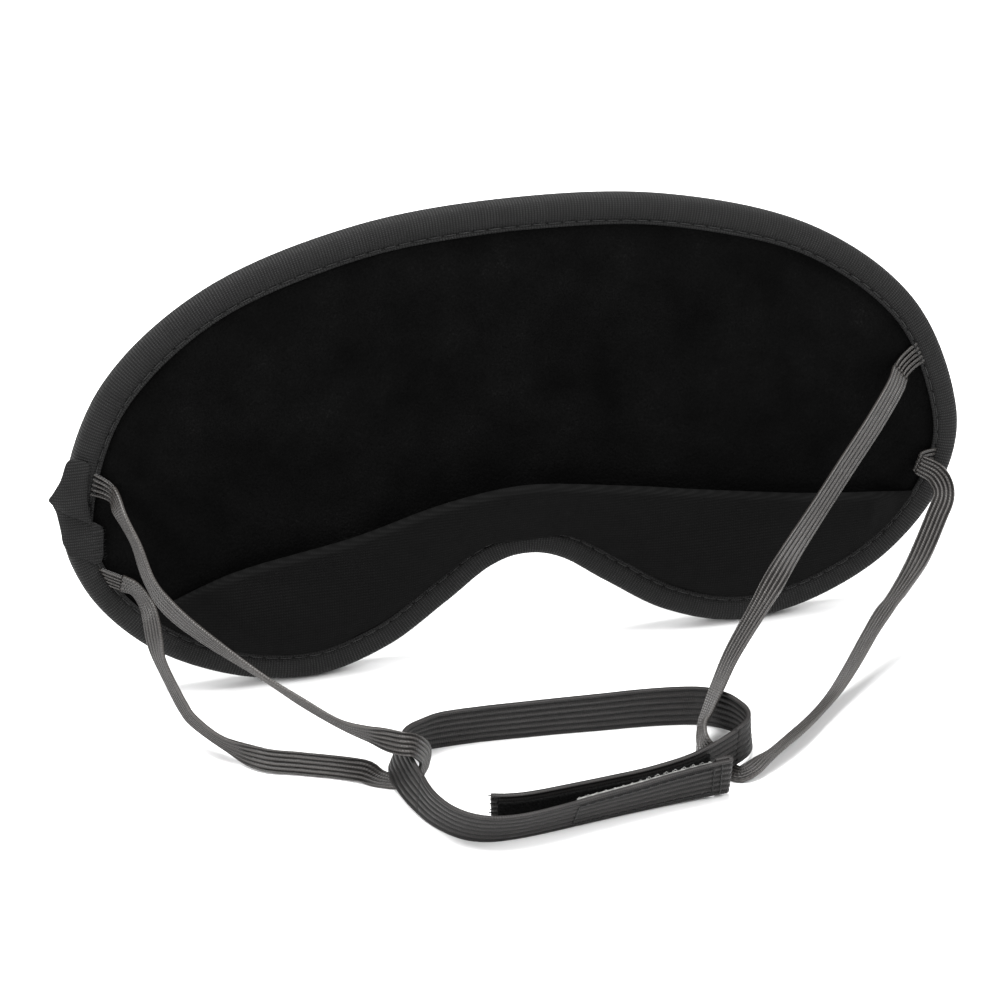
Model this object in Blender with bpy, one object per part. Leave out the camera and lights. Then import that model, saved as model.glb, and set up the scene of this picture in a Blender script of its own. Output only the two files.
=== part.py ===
"""A contoured sleep mask with a padded nose flap and an elastic head strap.

The mask stands on its two lower lobes and leans back a little. Its face side looks towards -Y,
+X is to the right of somebody who looks at that side, and +Z is up. The head strap lies in a
closed loop on the table in front of the mask. The origin is under the middle, at table height.
"""

import math

import bmesh
import bpy
import numpy as np
from mathutils import Vector

MM = 0.001
GAP = 0.3 * MM                 # clearance between pieces that touch
HINGE_GAP = 0.45 * MM          # from a bending line of the strap to the cloth on each side of it

# ---- the mask: sizes in its own plane, where u is to the right, v is up and w faces the wearer
LEAN = math.radians(6.5)       # how far the mask leans back
LOBE_DROP = 36.0 * MM          # from the mask's reference level down to the lobes' lowest points
COVER_THICK = 0.6 * MM
FOAM_THICK = 2.0 * MM
BLACKOUT_THICK = 0.3 * MM
LINING_THICK = 0.6 * MM
PANEL = (-45 * MM, 45 * MM, -2 * MM, 46 * MM)   # the cover's flat middle: u and v limits
PANEL_RISE = 0.1 * MM          # how far the padding makes that middle stand proud
TAPE_THICK = 0.7 * MM          # the binding tape
TAPE_REACH = 6.4 * MM          # how far the tape folds over each face
THREAD_RADIUS = 0.22 * MM
STITCH_INSET = 5.6 * MM        # from the mask's edge to the line of stitches

# ---- the nose flap
HINGE_V = -9.6 * MM            # level of the line that the loose part of the flap bends about
HINGE_W = 6.0 * MM
FLAP_THICK = 3.8 * MM
FLAP_SKIN = 0.5 * MM
FLAP_FOOT = 1.4 * MM           # from the bending line up to the loose part's lower edge
FLAP_TILT = math.radians(12)   # how far the loose part leans off the lining
LOBE_CEILING = HINGE_V - 1.1 * MM   # upper edge of the flap's sewn-down ends
LOBE_PAD_THICK = 2.2 * MM

# ---- the elastics
NARROW = 5.0 * MM
NARROW_THICK = 0.9 * MM
WIDE = 9.5 * MM
WIDE_THICK = 1.0 * MM
PATCH_WIDTH = 8.6 * MM
HOOK_THICK = 1.3 * MM
LOOP_THICK = 0.9 * MM
HEM_THICK = 1.3 * MM           # the second layer where the strap's end is folded back
HEM_RUN = 3.0 * MM

MODEL = "eye_mask"
FACE = Vector((0.0, -math.cos(LEAN), math.sin(LEAN)))
UP = Vector((0.0, math.sin(LEAN), math.cos(LEAN)))
RIGHT = Vector((1.0, 0.0, 0.0))
# From the point under the middle of the mask's plane to the middle of the whole object's floor area.
TO_ORIGIN = Vector((1.3 * MM, 38.9 * MM, 0.0))
STANDING_POINT = Vector((0.0, 0.0, 0.0))

STACK = COVER_THICK + FOAM_THICK + BLACKOUT_THICK + LINING_THICK + 3 * GAP
EDGE_HALF = STACK / 2 + GAP + TAPE_THICK     # half the thickness over the binding

# The right half of the mask's edge, in millimetres, from the top middle to the nose notch.
HALF_EDGE = (
    (0, 70.8), (36, 68), (70, 57.2), (94.2, 37.5), (104.7, 10.9), (101.3, -8.1),
    (88, -23.8), (69, -33.4), (50, -36), (33, -31.1), (19, -22.2), (8.5, -15), (0, -12.9),
)
EDGE_STEPS = 7                 # points for each stretch of the edge
# The folded end of the binding tape at the left tip, in millimetres.
LAP_OUTLINE = ((-107.6, 13.6), (-105.4, 21.0), (-100.2, 20.4), (-100.4, 10.8), (-105.6, 11.2))


# ---------------------------------------------------------------- scene and materials

def clear_scene():
    """Remove whatever the file holds."""
    for thing in list(bpy.data.objects):
        bpy.data.objects.remove(thing, do_unlink=True)


def new_collection(name):
    group = bpy.data.collections.new(name)
    bpy.context.scene.collection.children.link(group)
    return group


def fabric(name, colour, roughness):
    """A plain cloth material."""
    material = bpy.data.materials.new(name)
    material.use_nodes = True
    shader = material.node_tree.nodes["Principled BSDF"]
    shader.inputs["Base Color"].default_value = (*colour, 1.0)
    shader.inputs["Roughness"].default_value = roughness
    shader.inputs["Metallic"].default_value = 0.0
    return material


# ---------------------------------------------------------------- curves

def smooth(points, steps, closed=False):
    """Points along the Catmull-Rom curve through the given rows, steps to a stretch."""
    rows = np.array(points, float)
    if closed:
        rows = np.vstack([rows[-1], rows, rows[:2]])
    else:
        rows = np.vstack([2 * rows[0] - rows[1], rows, 2 * rows[-1] - rows[-2]])
    result = []
    for a, b, c, d in zip(rows, rows[1:], rows[2:], rows[3:]):
        for k in range(steps):
            t = k / steps
            result.append(0.5 * (2 * b + (c - a) * t + (2 * a - 5 * b + 4 * c - d) * t * t
                                 + (3 * b - a - 3 * c + d) * t ** 3))
    if not closed:
        result.append(rows[-2])
    return np.array(result)


def mask_edge():
    """The mask's whole edge, clockwise from the top middle, in metres."""
    right_half = list(HALF_EDGE)
    left_half = [(-u, v) for u, v in reversed(right_half[1:-1])]
    return smooth(right_half + left_half, EDGE_STEPS, closed=True) * MM


def edge_normals(loop):
    """Unit vectors that point into a clockwise loop."""
    along = np.roll(loop, -1, axis=0) - np.roll(loop, 1, axis=0)
    along /= np.linalg.norm(along, axis=1)[:, None]
    return np.stack([along[:, 1], -along[:, 0]], axis=1)


def inset(loop, distance):
    return loop + edge_normals(loop) * distance


def place(u, v, w):
    """World position of a point of the mask's own space."""
    lift = LOBE_DROP * math.cos(LEAN) + EDGE_HALF * math.sin(LEAN)
    return Vector((0.0, 0.0, lift)) + RIGHT * u + UP * v + FACE * w


# ---------------------------------------------------------------- solids

def link_mesh(name, bm, material, group, origin):
    """Make an object from a bmesh in world space, its origin at the given point."""
    bmesh.ops.recalc_face_normals(bm, faces=bm.faces[:])
    mesh = bpy.data.meshes.new(name)
    bmesh.ops.translate(bm, vec=-origin, verts=bm.verts[:])
    bm.to_mesh(mesh)
    bm.free()
    mesh.materials.append(material)
    thing = bpy.data.objects.new(name, mesh)
    thing.location = origin + TO_ORIGIN
    mesh.shade_smooth()
    mesh.set_sharp_from_angle(angle=math.radians(35))
    group.objects.link(thing)
    return thing


def loft(name, sections, material, group, closed=False, origin=STANDING_POINT):
    """A solid through matching rings of points, capped at its ends unless it closes."""
    bm = bmesh.new()
    rings = [[bm.verts.new(p) for p in ring] for ring in sections]
    pairs = list(zip(rings, rings[1:]))
    if closed:
        pairs.append((rings[-1], rings[0]))
    for first, second in pairs:
        for k in range(len(first)):
            n = (k + 1) % len(first)
            bm.faces.new((first[k], first[n], second[n], second[k]))
    if not closed:
        bm.faces.new(rings[0])
        bm.faces.new(list(reversed(rings[-1])))
    bmesh.ops.triangulate(bm, faces=[f for f in bm.faces if len(f.verts) > 4])
    return link_mesh(name, bm, material, group, origin)


def plate(name, outline, w_low, w_high, material, group):
    """A flat sheet in the mask's plane, from its outline and its two levels."""
    return loft(name, [[place(u, v, w) for u, v in outline] for w in (w_low, w_high)],
                material, group)


def loop_edges(bm, points):
    """A closed ring of edges through the given points, as its corners and its edges."""
    corners = [bm.verts.new(p) for p in points]
    return corners, [bm.edges.new((a, b)) for a, b in zip(corners, corners[1:] + corners[:1])]


def make_cover(outline, w_low, w_high, material, group):
    """The outer cover: a flat sheet, the middle of its back a little proud over the padding."""
    bm = bmesh.new()
    back, back_edges = loop_edges(bm, [place(u, v, w_low) for u, v in outline])
    front, _ = loop_edges(bm, [place(u, v, w_high) for u, v in outline])
    left, right, low, high = PANEL
    corners = ((left, low), (right, low), (right, high), (left, high))
    foot, foot_edges = loop_edges(bm, [place(u, v, w_low) for u, v in corners])
    panel, _ = loop_edges(bm, [place(u, v, w_low - PANEL_RISE) for u, v in corners])
    for lower, upper in ((back, front), (foot, panel)):
        for k in range(len(lower)):
            n = (k + 1) % len(lower)
            bm.faces.new((lower[k], lower[n], upper[n], upper[k]))
    bm.faces.new(panel)
    cap = bm.faces.new(front)
    bmesh.ops.triangle_fill(bm, use_beauty=True, edges=back_edges + foot_edges)
    bmesh.ops.triangulate(bm, faces=[cap])
    for face in [f for f in bm.faces if set(f.verts) <= set(foot)]:
        bm.faces.remove(face)
    return link_mesh("outer_cover", bm, material, group, STANDING_POINT)


def thread_loop(name, loop, w, material, group):
    """A closed thread that follows a loop of the mask's plane."""
    inward = edge_normals(loop)
    sections = []
    for (u, v), (nu, nv) in zip(loop, inward):
        ring = []
        for k in range(6):
            angle = k * math.tau / 6
            side = THREAD_RADIUS * math.cos(angle)
            ring.append(place(u + nu * side, v + nv * side, w + THREAD_RADIUS * math.sin(angle)))
        sections.append(ring)
    return loft(name, sections, material, group, closed=True)


def band_frames(rows):
    """Centre, width direction and face direction at each point of a band's route."""
    centres = rows[:, :3]
    along = np.gradient(centres, axis=0)
    along /= np.linalg.norm(along, axis=1)[:, None]
    across = rows[:, 3:6] - along * np.sum(rows[:, 3:6] * along, axis=1)[:, None]
    across /= np.linalg.norm(across, axis=1)[:, None]
    return centres, across, np.cross(along, across)


def band(name, rows, width, thick, material, group, offset=0.0, origin=STANDING_POINT):
    """A flat band along a route, its middle plane moved by offset along its face direction."""
    sections = []
    for centre, across, face in zip(*band_frames(rows)):
        middle = centre + face * offset
        sections.append([Vector(middle + across * width * a / 2 + face * thick * b / 2)
                         for a, b in ((-1, -1), (1, -1), (1, 1), (-1, 1))])
    return loft(name, sections, material, group, origin=origin)


# ---------------------------------------------------------------- the mask's layers

def make_layers(edge, cloths, group):
    """Outer cover, foam, light-blocking layer and face lining, from the back to the face."""
    outline = inset(edge, TAPE_THICK + GAP)
    level = -STACK / 2
    make_cover(outline, level, level + COVER_THICK, cloths["satin"], group)
    level += COVER_THICK + GAP
    for name, thick, cloth in (
        ("foam_pad", FOAM_THICK, "foam"), ("blackout_layer", BLACKOUT_THICK, "blackout"),
        ("face_lining", LINING_THICK, "lining"),
    ):
        plate(name, outline, level, level + thick, cloths[cloth], group)
        level += thick + GAP


def make_binding(edge, cloths, group):
    """The ribbed tape folded over the mask's edge: a channel that is open towards the middle."""
    inward = edge_normals(edge)
    inner = STACK / 2 + GAP
    profile = (
        (TAPE_REACH, -EDGE_HALF), (TAPE_REACH * 0.5, -EDGE_HALF), (0.9 * MM, -EDGE_HALF),
        (0.0, -EDGE_HALF + 0.9 * MM), (0.0, EDGE_HALF - 0.9 * MM), (0.9 * MM, EDGE_HALF),
        (TAPE_REACH * 0.5, EDGE_HALF), (TAPE_REACH, EDGE_HALF), (TAPE_REACH, inner),
        (TAPE_THICK, inner), (TAPE_THICK, -inner), (TAPE_REACH, -inner),
    )
    sections = []
    for (u, v), (nu, nv) in zip(edge, inward):
        sections.append([place(u + nu * d, v + nv * d, w) for d, w in profile])
    loft("edge_binding", sections, cloths["tape"], group, closed=True)
    line = inset(edge, STITCH_INSET)
    height = EDGE_HALF + GAP + THREAD_RADIUS
    thread_loop("binding_needle_thread", line, height, cloths["thread"], group)
    thread_loop("binding_bobbin_thread", line, -height, cloths["thread"], group)


def make_binding_lap(cloths, group):
    """The tape's folded end, which laps over its start at the left tip of the mask."""
    low = EDGE_HALF + GAP
    outline = [(u * MM, v * MM) for u, v in LAP_OUTLINE]
    plate("binding_lap", outline, low, low + TAPE_THICK, cloths["tape"], group)


# ---------------------------------------------------------------- the nose flap

# The free edge of the flap, in millimetres: where it is along the mask, and its level.
FLAP_EDGE = (
    (-70, -7.6), (-64, -6.4), (-42, -2.1), (-24, 2.8), (-12, 5.3), (-2, 6.1), (8, 5.2),
    (26, 2.2), (42, -1.0), (64, -4.8), (80, -6.6), (88, -7.5),
)
FLAP_STEPS = 4
LOBE_BREAK = -72.0 * MM        # left of this the sewn-down end of the flap slopes down
LOBE_SLOPE = 0.36


def flap_point(u, height, depth):
    """A point of the loose flap: height above the bending line, depth towards the wearer."""
    rise = height * math.cos(FLAP_TILT) - depth * math.sin(FLAP_TILT)
    reach = height * math.sin(FLAP_TILT) + depth * math.cos(FLAP_TILT)
    return place(u, HINGE_V + rise, HINGE_W + reach)


def make_flap(cloths, group):
    """The loose part of the flap: a folded jersey sleeve with a strip of foam in it."""
    hinge = place(0.0, HINGE_V, HINGE_W)
    outer = FLAP_THICK / 2
    inner = outer - FLAP_SKIN
    filled = inner - GAP
    sleeve, filling = [], []
    for u, top in smooth(FLAP_EDGE, FLAP_STEPS) * MM:
        height = top - HINGE_V
        roof = height - FLAP_SKIN
        sleeve.append([flap_point(u, h, d) for h, d in (
            (FLAP_FOOT, outer), (roof, outer), (height, outer * 0.4), (height, -outer * 0.4),
            (roof, -outer), (FLAP_FOOT, -outer), (FLAP_FOOT, -inner), (roof, -inner),
            (roof, inner), (FLAP_FOOT, inner))])
        if roof - GAP > FLAP_FOOT + GAP:
            filling.append([flap_point(u, h, d) for h, d in (
                (FLAP_FOOT, filled), (roof - GAP, filled),
                (roof - GAP, -filled), (FLAP_FOOT, -filled))])
    loft("nose_flap", sleeve, cloths["jersey"], group, origin=hinge)
    loft("nose_flap_foam", filling, cloths["foam"], group, origin=hinge)


def lobe_level(u):
    """Upper edge of the flap's sewn-down ends: level, then sloping down near the left tip."""
    return LOBE_CEILING - max(0.0, LOBE_BREAK - u) * LOBE_SLOPE


def make_flap_lobes(edge, cloths, group):
    """The two sewn-down ends of the flap, one in each lobe: foam under a jersey skin."""
    inner_edge = inset(edge, TAPE_REACH + 0.5 * MM)
    low = STACK / 2 + GAP
    skin = low + LOBE_PAD_THICK + GAP
    for side, name in ((-1, "left"), (1, "right")):
        outline = [(u, v) for u, v in inner_edge if u * side > 0 and v < lobe_level(u)]
        if side < 0:
            outline.append((LOBE_BREAK, LOBE_CEILING))
        plate(f"flap_{name}_foam", outline, low, low + LOBE_PAD_THICK, cloths["foam"], group)
        plate(f"flap_{name}_lobe", outline, skin, skin + FLAP_SKIN, cloths["jersey"], group)


# ---------------------------------------------------------------- the side elastics

# Routes of the two narrow elastics: x, y, z in millimetres, then the direction of their width.
LEFT_ROUTE = (
    (-94.0, -3.6, 51.0, 0.1, -0.1, 1.0), (-93.8, -6.2, 50.4, 0.2, -0.3, 0.9),
    (-93.1, -9.2, 48.4, 0.2, -0.8, 0.5), (-90.9, -13.2, 43.3, 0.2, -0.9, 0.3),
    (-89.2, -17.9, 36.8, 0.3, -0.9, 0.3), (-86.2, -22.0, 32.1, 0.3, -0.6, 0.7),
    (-80.3, -28.4, 27.7, 0.1, -0.6, 0.8), (-69.1, -37.4, 20.7, -0.1, -0.8, 0.6),
    (-61.6, -43.3, 16.4, -0.1, -0.7, 0.7), (-54.2, -49.1, 12.8, -0.1, -0.7, 0.7),
    (-48.9, -54.8, 12.5, 0.0, -0.5, 0.9), (-45.6, -59.4, 13.2, 0.2, 0.1, 1.0),
    (-43.4, -62.4, 13.8, 0.3, 0.4, 0.9), (-40.8, -62.8, 13.1, 0.5, 0.7, 0.5),
    (-38.2, -60.5, 9.4, 0.6, 0.8, 0.1), (-38.2, -59.6, 5.6, 0.6, 0.8, -0.1),
    (-38.6, -59.0, 3.0, 0.5, 0.9, 0.0), (-40.6, -57.4, 0.8, 0.2, 1.0, 0.0),
    (-43.6, -55.9, 0.6, 0.2, 1.0, 0.0), (-46.6, -54.3, 0.8, 0.2, 0.9, 0.2),
    (-49.8, -52.4, 2.1, 0.2, 0.6, 0.8), (-54.6, -50.2, 2.6, 0.1, 0.3, 1.0),
    (-62.6, -46.3, 2.6, 0.1, 0.3, 1.0), (-70.5, -42.6, 2.8, 0.1, 0.3, 1.0),
    (-77.1, -36.0, 3.8, 0.0, -0.6, 0.8), (-82.4, -29.5, 6.5, 0.1, -0.7, 0.7),
    (-84.3, -25.5, 8.6, 0.2, -0.8, 0.6), (-85.8, -21.6, 11.7, 0.2, -0.8, 0.5),
    (-87.6, -17.6, 16.4, 0.3, -0.9, 0.4), (-88.1, -14.8, 20.0, 0.5, -0.8, 0.3),
    (-88.3, -12.0, 24.1, 0.5, -0.8, 0.3), (-89.0, -9.2, 26.7, 0.4, -0.8, 0.5),
    (-90.8, -7.0, 29.2, 0.2, -0.6, 0.7), (-93.4, -5.6, 30.2, 0.1, -0.4, 0.9),
)
RIGHT_ROUTE = (
    (89.6, -2.4, 58.0, -0.6, 0.1, 0.8), (86.6, -6.6, 56.0, -0.7, -0.1, 0.7),
    (79.1, -13.6, 51.0, -0.7, -0.1, 0.7), (70.7, -20.0, 44.9, -0.7, -0.1, 0.7),
    (61.7, -26.7, 38.0, -0.7, -0.1, 0.7), (52.4, -33.9, 31.1, -0.8, 0.1, 0.6),
    (43.9, -40.9, 24.0, -0.5, 0.9, 0.0), (35.3, -47.9, 16.9, -0.2, 1.0, -0.1),
    (30.3, -52.8, 11.7, -0.1, 1.0, -0.2), (26.8, -56.6, 8.0, 0.0, 1.0, -0.3),
    (24.7, -59.2, 6.0, 0.1, 0.9, -0.4), (24.0, -62.0, 4.1, -0.2, 0.9, -0.3),
    (25.2, -65.2, 0.8, -1.0, 0.2, 0.0), (27.4, -70.0, 0.6, -0.9, -0.4, 0.0),
    (29.2, -72.7, 0.9, -0.4, -0.9, -0.1), (31.7, -72.5, 1.6, 0.0, -1.0, 0.0),
    (35.1, -70.4, 2.3, 0.3, -0.9, 0.3), (39.2, -67.8, 2.8, 0.3, -0.8, 0.5),
    (45.5, -62.6, 3.0, 0.3, -0.8, 0.5), (53.0, -55.2, 2.8, 0.4, -0.7, 0.6),
    (59.3, -49.0, 3.6, 0.5, -0.6, 0.6), (65.0, -43.6, 6.3, 0.6, -0.5, 0.6),
    (71.3, -37.6, 10.4, 0.7, -0.3, 0.6), (76.7, -32.8, 13.6, 0.8, -0.3, 0.5),
    (81.1, -29.2, 15.5, 0.8, -0.3, 0.5), (88.4, -22.2, 19.4, 0.9, -0.2, 0.3),
    (95.1, -15.3, 25.9, 1.0, -0.1, 0.2), (98.4, -11.4, 29.8, 0.9, 0.3, 0.3),
    (97.7, -8.2, 33.3, 0.6, -0.1, 0.8), (94.3, -5.2, 35.1, 0.1, -0.1, 1.0),
)
NARROW_STEPS = 3
TABLE_GAP = 0.03 * MM          # the elastics lie this much clear of the table
# Where each sewn-in end leaves the binding: its side of the mask and its level in millimetres.
TAILS = {
    "left_elastic_upper_tail": (-1, 16.4), "left_elastic_lower_tail": (-1, -5.4),
    "right_elastic_upper_tail": (1, 25.4), "right_elastic_lower_tail": (1, -1.4),
}
TAIL_RUN = 4.2 * MM
SIDE_ZONE = 60 * MM            # the side elastics are sewn in beyond this distance from the middle


def make_elastics(cloths, group, pivot):
    """The two narrow elastics, each a flat loop that passes through the head strap's loop."""
    for name, route in (("left_elastic", LEFT_ROUTE), ("right_elastic", RIGHT_ROUTE)):
        rows = smooth(route, NARROW_STEPS)
        rows[:, :3] *= MM
        _, across, face = band_frames(rows)
        floor = np.abs(across[:, 2]) * NARROW / 2 + np.abs(face[:, 2]) * NARROW_THICK / 2
        rows[:, 2] = np.maximum(rows[:, 2], floor + TABLE_GAP)
        band(name, rows, NARROW, NARROW_THICK, cloths["narrow_elastic"], group, origin=pivot)


def make_tails(edge, cloths, group):
    """The sewn-in ends of the narrow elastics, flat on the lining beside the binding."""
    low = STACK / 2 + GAP
    start_edge, end_edge = (inset(edge, TAPE_REACH + 0.6 * MM + run) for run in (0.0, TAIL_RUN))
    for name, (side, level) in TAILS.items():
        miss = np.abs(start_edge[:, 1] - level * MM) + (start_edge[:, 0] * side < SIDE_ZONE)
        near, far = (Vector(loop[int(np.argmin(miss))]) for loop in (start_edge, end_edge))
        along = (far - near).normalized()
        across = Vector((-along.y, along.x)) * NARROW / 2
        outline = [tuple(p) for p in (near - across, far - across, far + across, near + across)]
        plate(name, outline, low, low + NARROW_THICK, cloths["narrow_elastic"], group)


# ---------------------------------------------------------------- the head strap

# Lower edge of the wide elastic from its hook end to its loop end: x, y and lift off the table
# in millimetres, then how many degrees it leans out of the loop.
WIDE_ROUTE = (
    (24.2, -79.3, 1.0, 14), (20.0, -79.3, 0.8, 15), (12.0, -79.6, 0.4, 18), (2.0, -80.5, 0.1, 23),
    (-8.0, -81.8, 0, 26), (-18.0, -83.3, 0, 29), (-25.4, -83.9, 0, 30), (-31.0, -83.3, 0, 27),
    (-35.6, -80.6, 0, 19), (-39.4, -75.6, 0.2, 8), (-41.8, -70.2, 0.5, -4), (-43.6, -63.5, 0.8, -12),
    (-44.4, -57.0, 1.4, -17), (-43.8, -51.5, 1.4, -19), (-41.0, -46.9, 1.1, -21),
    (-36.5, -44.3, 0.6, -18), (-30.5, -43.2, 0.1, -10), (-21.3, -43.1, 0, -9), (-12.4, -43.7, 0, -8),
    (-3.3, -44.4, 0, -7), (5.6, -45.3, 0, -5), (14.7, -46.1, 0, -3), (23.2, -47.4, 0, -2),
    (28.8, -49.4, 0.2, -3), (33.0, -53.4, 0.5, -6), (35.0, -58.2, 0.9, -9), (35.0, -62.4, 1.2, -7),
    (32.8, -66.4, 1.4, 0), (28.6, -69.6, 1.4, 5), (22.4, -72.4, 1.1, 11), (15.4, -74.2, 0.5, 16),
    (6.0, -75.5, 0.1, 19), (-2.8, -76.3, 0, 20), (-12.0, -77.3, 0, 20), (-20.0, -78.0, 0, 20),
    (-24.6, -77.7, 0, 20), (-27.8, -76.8, 0, 20),
)
HOOK_SPLIT = 10                # the route points where the two ends of the strap can bend
LOOP_SPLIT = 28
WIDE_STEPS = 3
LOOP_CENTRE = np.array((-4.0, -63.0))
HOOK_PATCH_RUN = (4.0 * MM, 36.0 * MM)   # from the hem's fold
LOOP_PATCH_RUN = (9.0 * MM, -1.5 * MM)   # from the bend, to the free end
PATCH_THREAD_INSET = 0.8 * MM
SHORT = 0.05 * MM              # points nearer than this are one point


def wide_rows():
    """Centre line and width direction of the wide elastic, end to end."""
    points = smooth(WIDE_ROUTE, WIDE_STEPS)
    along = np.gradient(points[:, :2], axis=0)
    along /= np.linalg.norm(along, axis=1)[:, None]
    outward = np.stack([along[:, 1], -along[:, 0]], axis=1)
    outward[np.sum(outward * (points[:, :2] - LOOP_CENTRE), axis=1) < 0] *= -1
    lean = np.radians(points[:, 3])
    across = np.column_stack([outward * np.sin(lean)[:, None], np.cos(lean)])
    foot = points[:, :3] * MM
    foot[:, 2] += WIDE_THICK / 2 * np.abs(np.sin(lean)) + TABLE_GAP
    return np.column_stack([foot + across * WIDE / 2, across])


def part_of(rows, start, end):
    """The stretch of a route between two distances from its start; a negative end counts back."""
    steps = np.linalg.norm(np.diff(rows[:, :3], axis=0), axis=1)
    lengths = np.concatenate([[0], np.cumsum(steps)])
    if end <= 0:
        end += lengths[-1]
    inside = (lengths > start + SHORT) & (lengths < end - SHORT)
    at = np.concatenate([[start], lengths[inside], [end]])
    return np.column_stack([np.interp(at, lengths, rows[:, k]) for k in range(rows.shape[1])])


def make_hook_end(rows, cloths, group, pivot):
    """The strap's outer end with its folded hem, and the hook patch behind it."""
    folded = part_of(rows, 0.0, HEM_RUN)
    single = part_of(rows, HEM_RUN + SHORT, 0.0)
    centres, across, face = band_frames(np.vstack([folded, single]))
    backs = [WIDE_THICK / 2 + HEM_THICK] * len(folded) + [WIDE_THICK / 2] * len(single)
    sections = []
    for centre, side, inward, back in zip(centres, across, face, backs):
        sections.append([Vector(centre + side * WIDE * a / 2 + inward * b) for a, b in (
            (-1, -WIDE_THICK / 2), (1, -WIDE_THICK / 2), (1, back), (-1, back))])
    loft("hook_end", sections, cloths["wide_elastic"], group, origin=pivot)
    patch = part_of(rows, *HOOK_PATCH_RUN)
    level = WIDE_THICK / 2 + GAP + HOOK_THICK / 2
    band("hook_patch", patch, PATCH_WIDTH, HOOK_THICK, cloths["hook"], group, level, pivot)
    level = -WIDE_THICK / 2 - GAP - THREAD_RADIUS
    thread_frame("hook_patch_thread", patch, level, cloths["thread"], group, pivot)
    bar = part_of(rows, HEM_RUN * 0.5, HEM_RUN * 0.5 + 2 * THREAD_RADIUS)
    band("hem_thread", bar, PATCH_WIDTH, 2 * THREAD_RADIUS, cloths["thread"], group, level, pivot)


def make_loop_end(rows, cloths, group, pivot):
    """The strap's inner end, with the loop patch on the side that faces the hooks."""
    wide = cloths["wide_elastic"]
    band("loop_end", part_of(rows, GAP, 0.0), WIDE, WIDE_THICK, wide, group, origin=pivot)
    patch = part_of(rows, *LOOP_PATCH_RUN)
    level = -WIDE_THICK / 2 - GAP - LOOP_THICK / 2
    band("loop_patch", patch, PATCH_WIDTH, LOOP_THICK, cloths["loop"], group, level, pivot)
    level = WIDE_THICK / 2 + GAP + THREAD_RADIUS
    thread_frame("loop_patch_thread", patch, level, cloths["thread"], group, pivot)


def thread_frame(name, rows, level, material, group, pivot):
    """The stitches round a patch: a thread along its four edges, on the strap's other side."""
    centres, across, face = band_frames(rows)
    along = np.cross(across, face)
    reach = PATCH_WIDTH / 2 - PATCH_THREAD_INSET
    last = len(rows) - 1
    corners = {(0, 1): (-1, 1), (last, 1): (1, 1), (last, -1): (1, -1), (0, -1): (-1, -1)}
    path = [(k, 1) for k in range(len(rows))] + [(k, -1) for k in reversed(range(len(rows)))]
    sections = []
    for k, side in path:
        ahead, beside = corners.get((k, side), (0, side))
        outward = (along[k] * ahead + across[k] * beside) * THREAD_RADIUS
        middle = centres[k] + across[k] * reach * side + face[k] * level
        above = face[k] * THREAD_RADIUS
        sections.append([Vector(middle + outward * a + above * b)
                         for a, b in ((-1, -1), (1, -1), (1, 1), (-1, 1))])
    loft(name, sections, material, group, closed=True, origin=pivot)


def make_strap(cloths, group, swing):
    """The wide elastic in three stretches: the loop's main run and the two ends that can bend."""
    rows = wide_rows()
    hook_split, loop_split = HOOK_SPLIT * WIDE_STEPS, LOOP_SPLIT * WIDE_STEPS
    hook_rows, main_rows = rows[:hook_split + 1], rows[hook_split:loop_split + 1]
    loop_rows = rows[loop_split:]
    main = part_of(main_rows, HINGE_GAP, -GAP)
    band("head_strap", main, WIDE, WIDE_THICK, cloths["wide_elastic"], group, origin=swing)
    make_hook_end(part_of(hook_rows, 0.0, -HINGE_GAP), cloths, group, Vector(hook_rows[-1, :3]))
    make_loop_end(loop_rows, cloths, group, Vector(loop_rows[0, :3]))


# ---------------------------------------------------------------- the whole

SWING_AXIS = Vector((0.0, -2.0 * MM, 60.5 * MM))   # the line that the strap swings about


def build():
    clear_scene()
    group = new_collection(MODEL)
    cloths = {
        "satin": fabric("black_satin", (0.010, 0.010, 0.011), 0.45),
        "foam": fabric("grey_foam", (0.09, 0.09, 0.09), 0.95),
        "blackout": fabric("blackout_film", (0.005, 0.005, 0.005), 0.6),
        "lining": fabric("black_velour", (0.004, 0.004, 0.005), 0.95),
        "jersey": fabric("black_jersey", (0.012, 0.012, 0.013), 0.9),
        "tape": fabric("ribbed_tape", (0.030, 0.030, 0.032), 0.6),
        "thread": fabric("black_thread", (0.020, 0.020, 0.021), 0.6),
        "narrow_elastic": fabric("narrow_elastic", (0.085, 0.073, 0.068), 0.45),
        "wide_elastic": fabric("wide_elastic", (0.045, 0.042, 0.041), 0.6),
        "hook": fabric("hook_tape", (0.20, 0.20, 0.19), 0.5),
        "loop": fabric("loop_pile", (0.005, 0.005, 0.006), 0.98),
    }
    edge = mask_edge()
    make_layers(edge, cloths, group)
    make_binding(edge, cloths, group)
    make_binding_lap(cloths, group)
    make_flap(cloths, group)
    make_flap_lobes(edge, cloths, group)
    make_tails(edge, cloths, group)
    make_elastics(cloths, group, SWING_AXIS)
    make_strap(cloths, group, SWING_AXIS)


build()
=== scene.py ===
"""The looks of the sleep mask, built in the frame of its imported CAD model.

Everything is in metres. The mask stands on its two lobes and leans back; u runs to the right in
its plane, v up, and w towards the wearer. The head strap lies on the floor in front of it.
"""

import math

import bmesh
import bpy
import numpy as np
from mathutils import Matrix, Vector
from mathutils.geometry import delaunay_2d_cdt


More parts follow.
